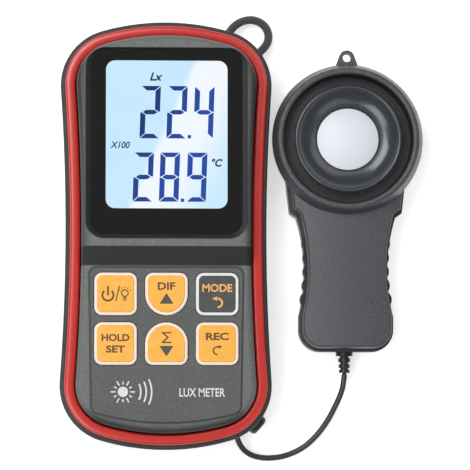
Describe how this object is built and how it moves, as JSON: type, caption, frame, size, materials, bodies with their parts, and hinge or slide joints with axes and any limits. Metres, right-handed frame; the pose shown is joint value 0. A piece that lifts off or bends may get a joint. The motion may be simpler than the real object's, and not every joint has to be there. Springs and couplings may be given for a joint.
{
  "type": "handheld light meter",
  "caption": "Handheld light meter with a tall display, soft square keys, a red rubber bumper band, a hanging loop, and a corded flat sensor head with a white diffuser disc.",
  "frame": {"origin": "middle of the back face of the meter, on the surface it lies on", "axes": "+Z out of the display, +Y towards the top of the display, +X towards the sensor head"},
  "size_m": [0.1361, 0.1693, 0.031],
  "materials": {
    "housing_plastic": "fine spark texture, dark grey",
    "face_plastic": "fine spark texture, mid grey",
    "band_rubber": "smooth, red",
    "clear_lens": "polished",
    "border_print": "printed black",
    "lcd_glass": "polished",
    "backlight": "diffusing, pale blue",
    "frame_plastic": "satin white",
    "contact_rubber": "layered silicone",
    "panel_plastic": "fine texture, dark grey",
    "circuit_board": "solder mask, green",
    "chip_plastic": "moulded black",
    "metal": "plated",
    "screw_steel": "zinc plated",
    "cell_jacket": "printed sleeve",
    "label_film": "satin silver",
    "black_rubber": "smooth, near black",
    "key_border": "satin cream white",
    "key_orange": "satin orange yellow",
    "key_dark": "satin dark grey",
    "probe_plastic": "fine spark texture, dark grey",
    "probe_rim": "fine texture, near black",
    "opal": "opal white",
    "filter": "polished green"
  },
  "bodies": {
    "meter": {"back_cover": "housing_plastic", "front_cover": "face_plastic", "bumper_band": "band_rubber", "display_lens": "clear_lens", "lens_border": "border_print", "lcd_glass": "lcd_glass", "lcd_backlight": "backlight", "lcd_frame": "frame_plastic", "lcd_contact_strip": "contact_rubber", "keypad_panel": "panel_plastic", "main_board": "circuit_board", "board_chips": "chip_plastic", "buzzer": "chip_plastic", "key_board": "circuit_board", "key_board_posts": "metal", "dome_switches": "metal", "battery_1": "cell_jacket", "battery_2": "cell_jacket", "battery_3": "cell_jacket", "battery_springs": "metal", "battery_plates": "metal", "case_screws": "screw_steel", "board_screws": "screw_steel", "back_label": "label_film", "port_socket": "frame_plastic", "cord_gland": "black_rubber", "probe_cord": "black_rubber", "hang_loop": "black_rubber", "loop_anchors": "metal"},
    "battery_door": {"battery_door": "housing_plastic"},
    "port_plug": {"port_plug": "black_rubber"},
    "probe": {"probe_back_shell": "probe_rim", "probe_front_shell": "probe_plastic", "probe_grip_left": "black_rubber", "probe_grip_right": "black_rubber", "sensor_bowl": "probe_rim", "diffuser_dome": "opal", "diffuser_seal": "black_rubber", "filter_glass": "filter", "sensor_holder": "chip_plastic", "photodiode": "chip_plastic", "probe_board": "circuit_board", "probe_strain_relief": "black_rubber", "probe_screws": "screw_steel"},
    "key_power": {"key_power_rim": "key_border", "key_power_cap": "key_orange"},
    "key_up": {"key_up_rim": "key_border", "key_up_cap": "key_orange"},
    "key_mode": {"key_mode_rim": "key_border", "key_mode_cap": "key_dark"},
    "key_hold": {"key_hold_rim": "key_border", "key_hold_cap": "key_orange"},
    "key_down": {"key_down_rim": "key_border", "key_down_cap": "key_orange"},
    "key_record": {"key_record_rim": "key_border", "key_record_cap": "key_orange"}
  },
  "joints": [
    {"name": "battery_door_lift", "type": "slide", "parent": "meter", "child": "battery_door", "axis": [0, 0, -1], "range_m": [0, 0.012]},
    {"name": "port_plug_pull", "type": "slide", "parent": "meter", "child": "port_plug", "axis": [0.7547, -0.6561, 0], "range_m": [0, 0.009]},
    {"name": "probe_lift", "type": "hinge", "parent": "meter", "child": "probe", "pos_m": [0.0677, -0.0518, 0.0062], "axis": [1, 0, 0], "range_deg": [0, 50]},
    {"name": "key_power_press", "type": "slide", "parent": "meter", "child": "key_power", "axis": [0, 0, -1], "range_m": [0, 0.0007], "stiffness_N_per_m": 400, "springref_m": -0.0005},
    {"name": "key_up_press", "type": "slide", "parent": "meter", "child": "key_up", "axis": [0, 0, -1], "range_m": [0, 0.0007], "stiffness_N_per_m": 400, "springref_m": -0.0005},
    {"name": "key_mode_press", "type": "slide", "parent": "meter", "child": "key_mode", "axis": [0, 0, -1], "range_m": [0, 0.0007], "stiffness_N_per_m": 400, "springref_m": -0.0005},
    {"name": "key_hold_press", "type": "slide", "parent": "meter", "child": "key_hold", "axis": [0, 0, -1], "range_m": [0, 0.0007], "stiffness_N_per_m": 400, "springref_m": -0.0005},
    {"name": "key_down_press", "type": "slide", "parent": "meter", "child": "key_down", "axis": [0, 0, -1], "range_m": [0, 0.0007], "stiffness_N_per_m": 400, "springref_m": -0.0005},
    {"name": "key_record_press", "type": "slide", "parent": "meter", "child": "key_record", "axis": [0, 0, -1], "range_m": [0, 0.0007], "stiffness_N_per_m": 400, "springref_m": -0.0005}
  ]
}
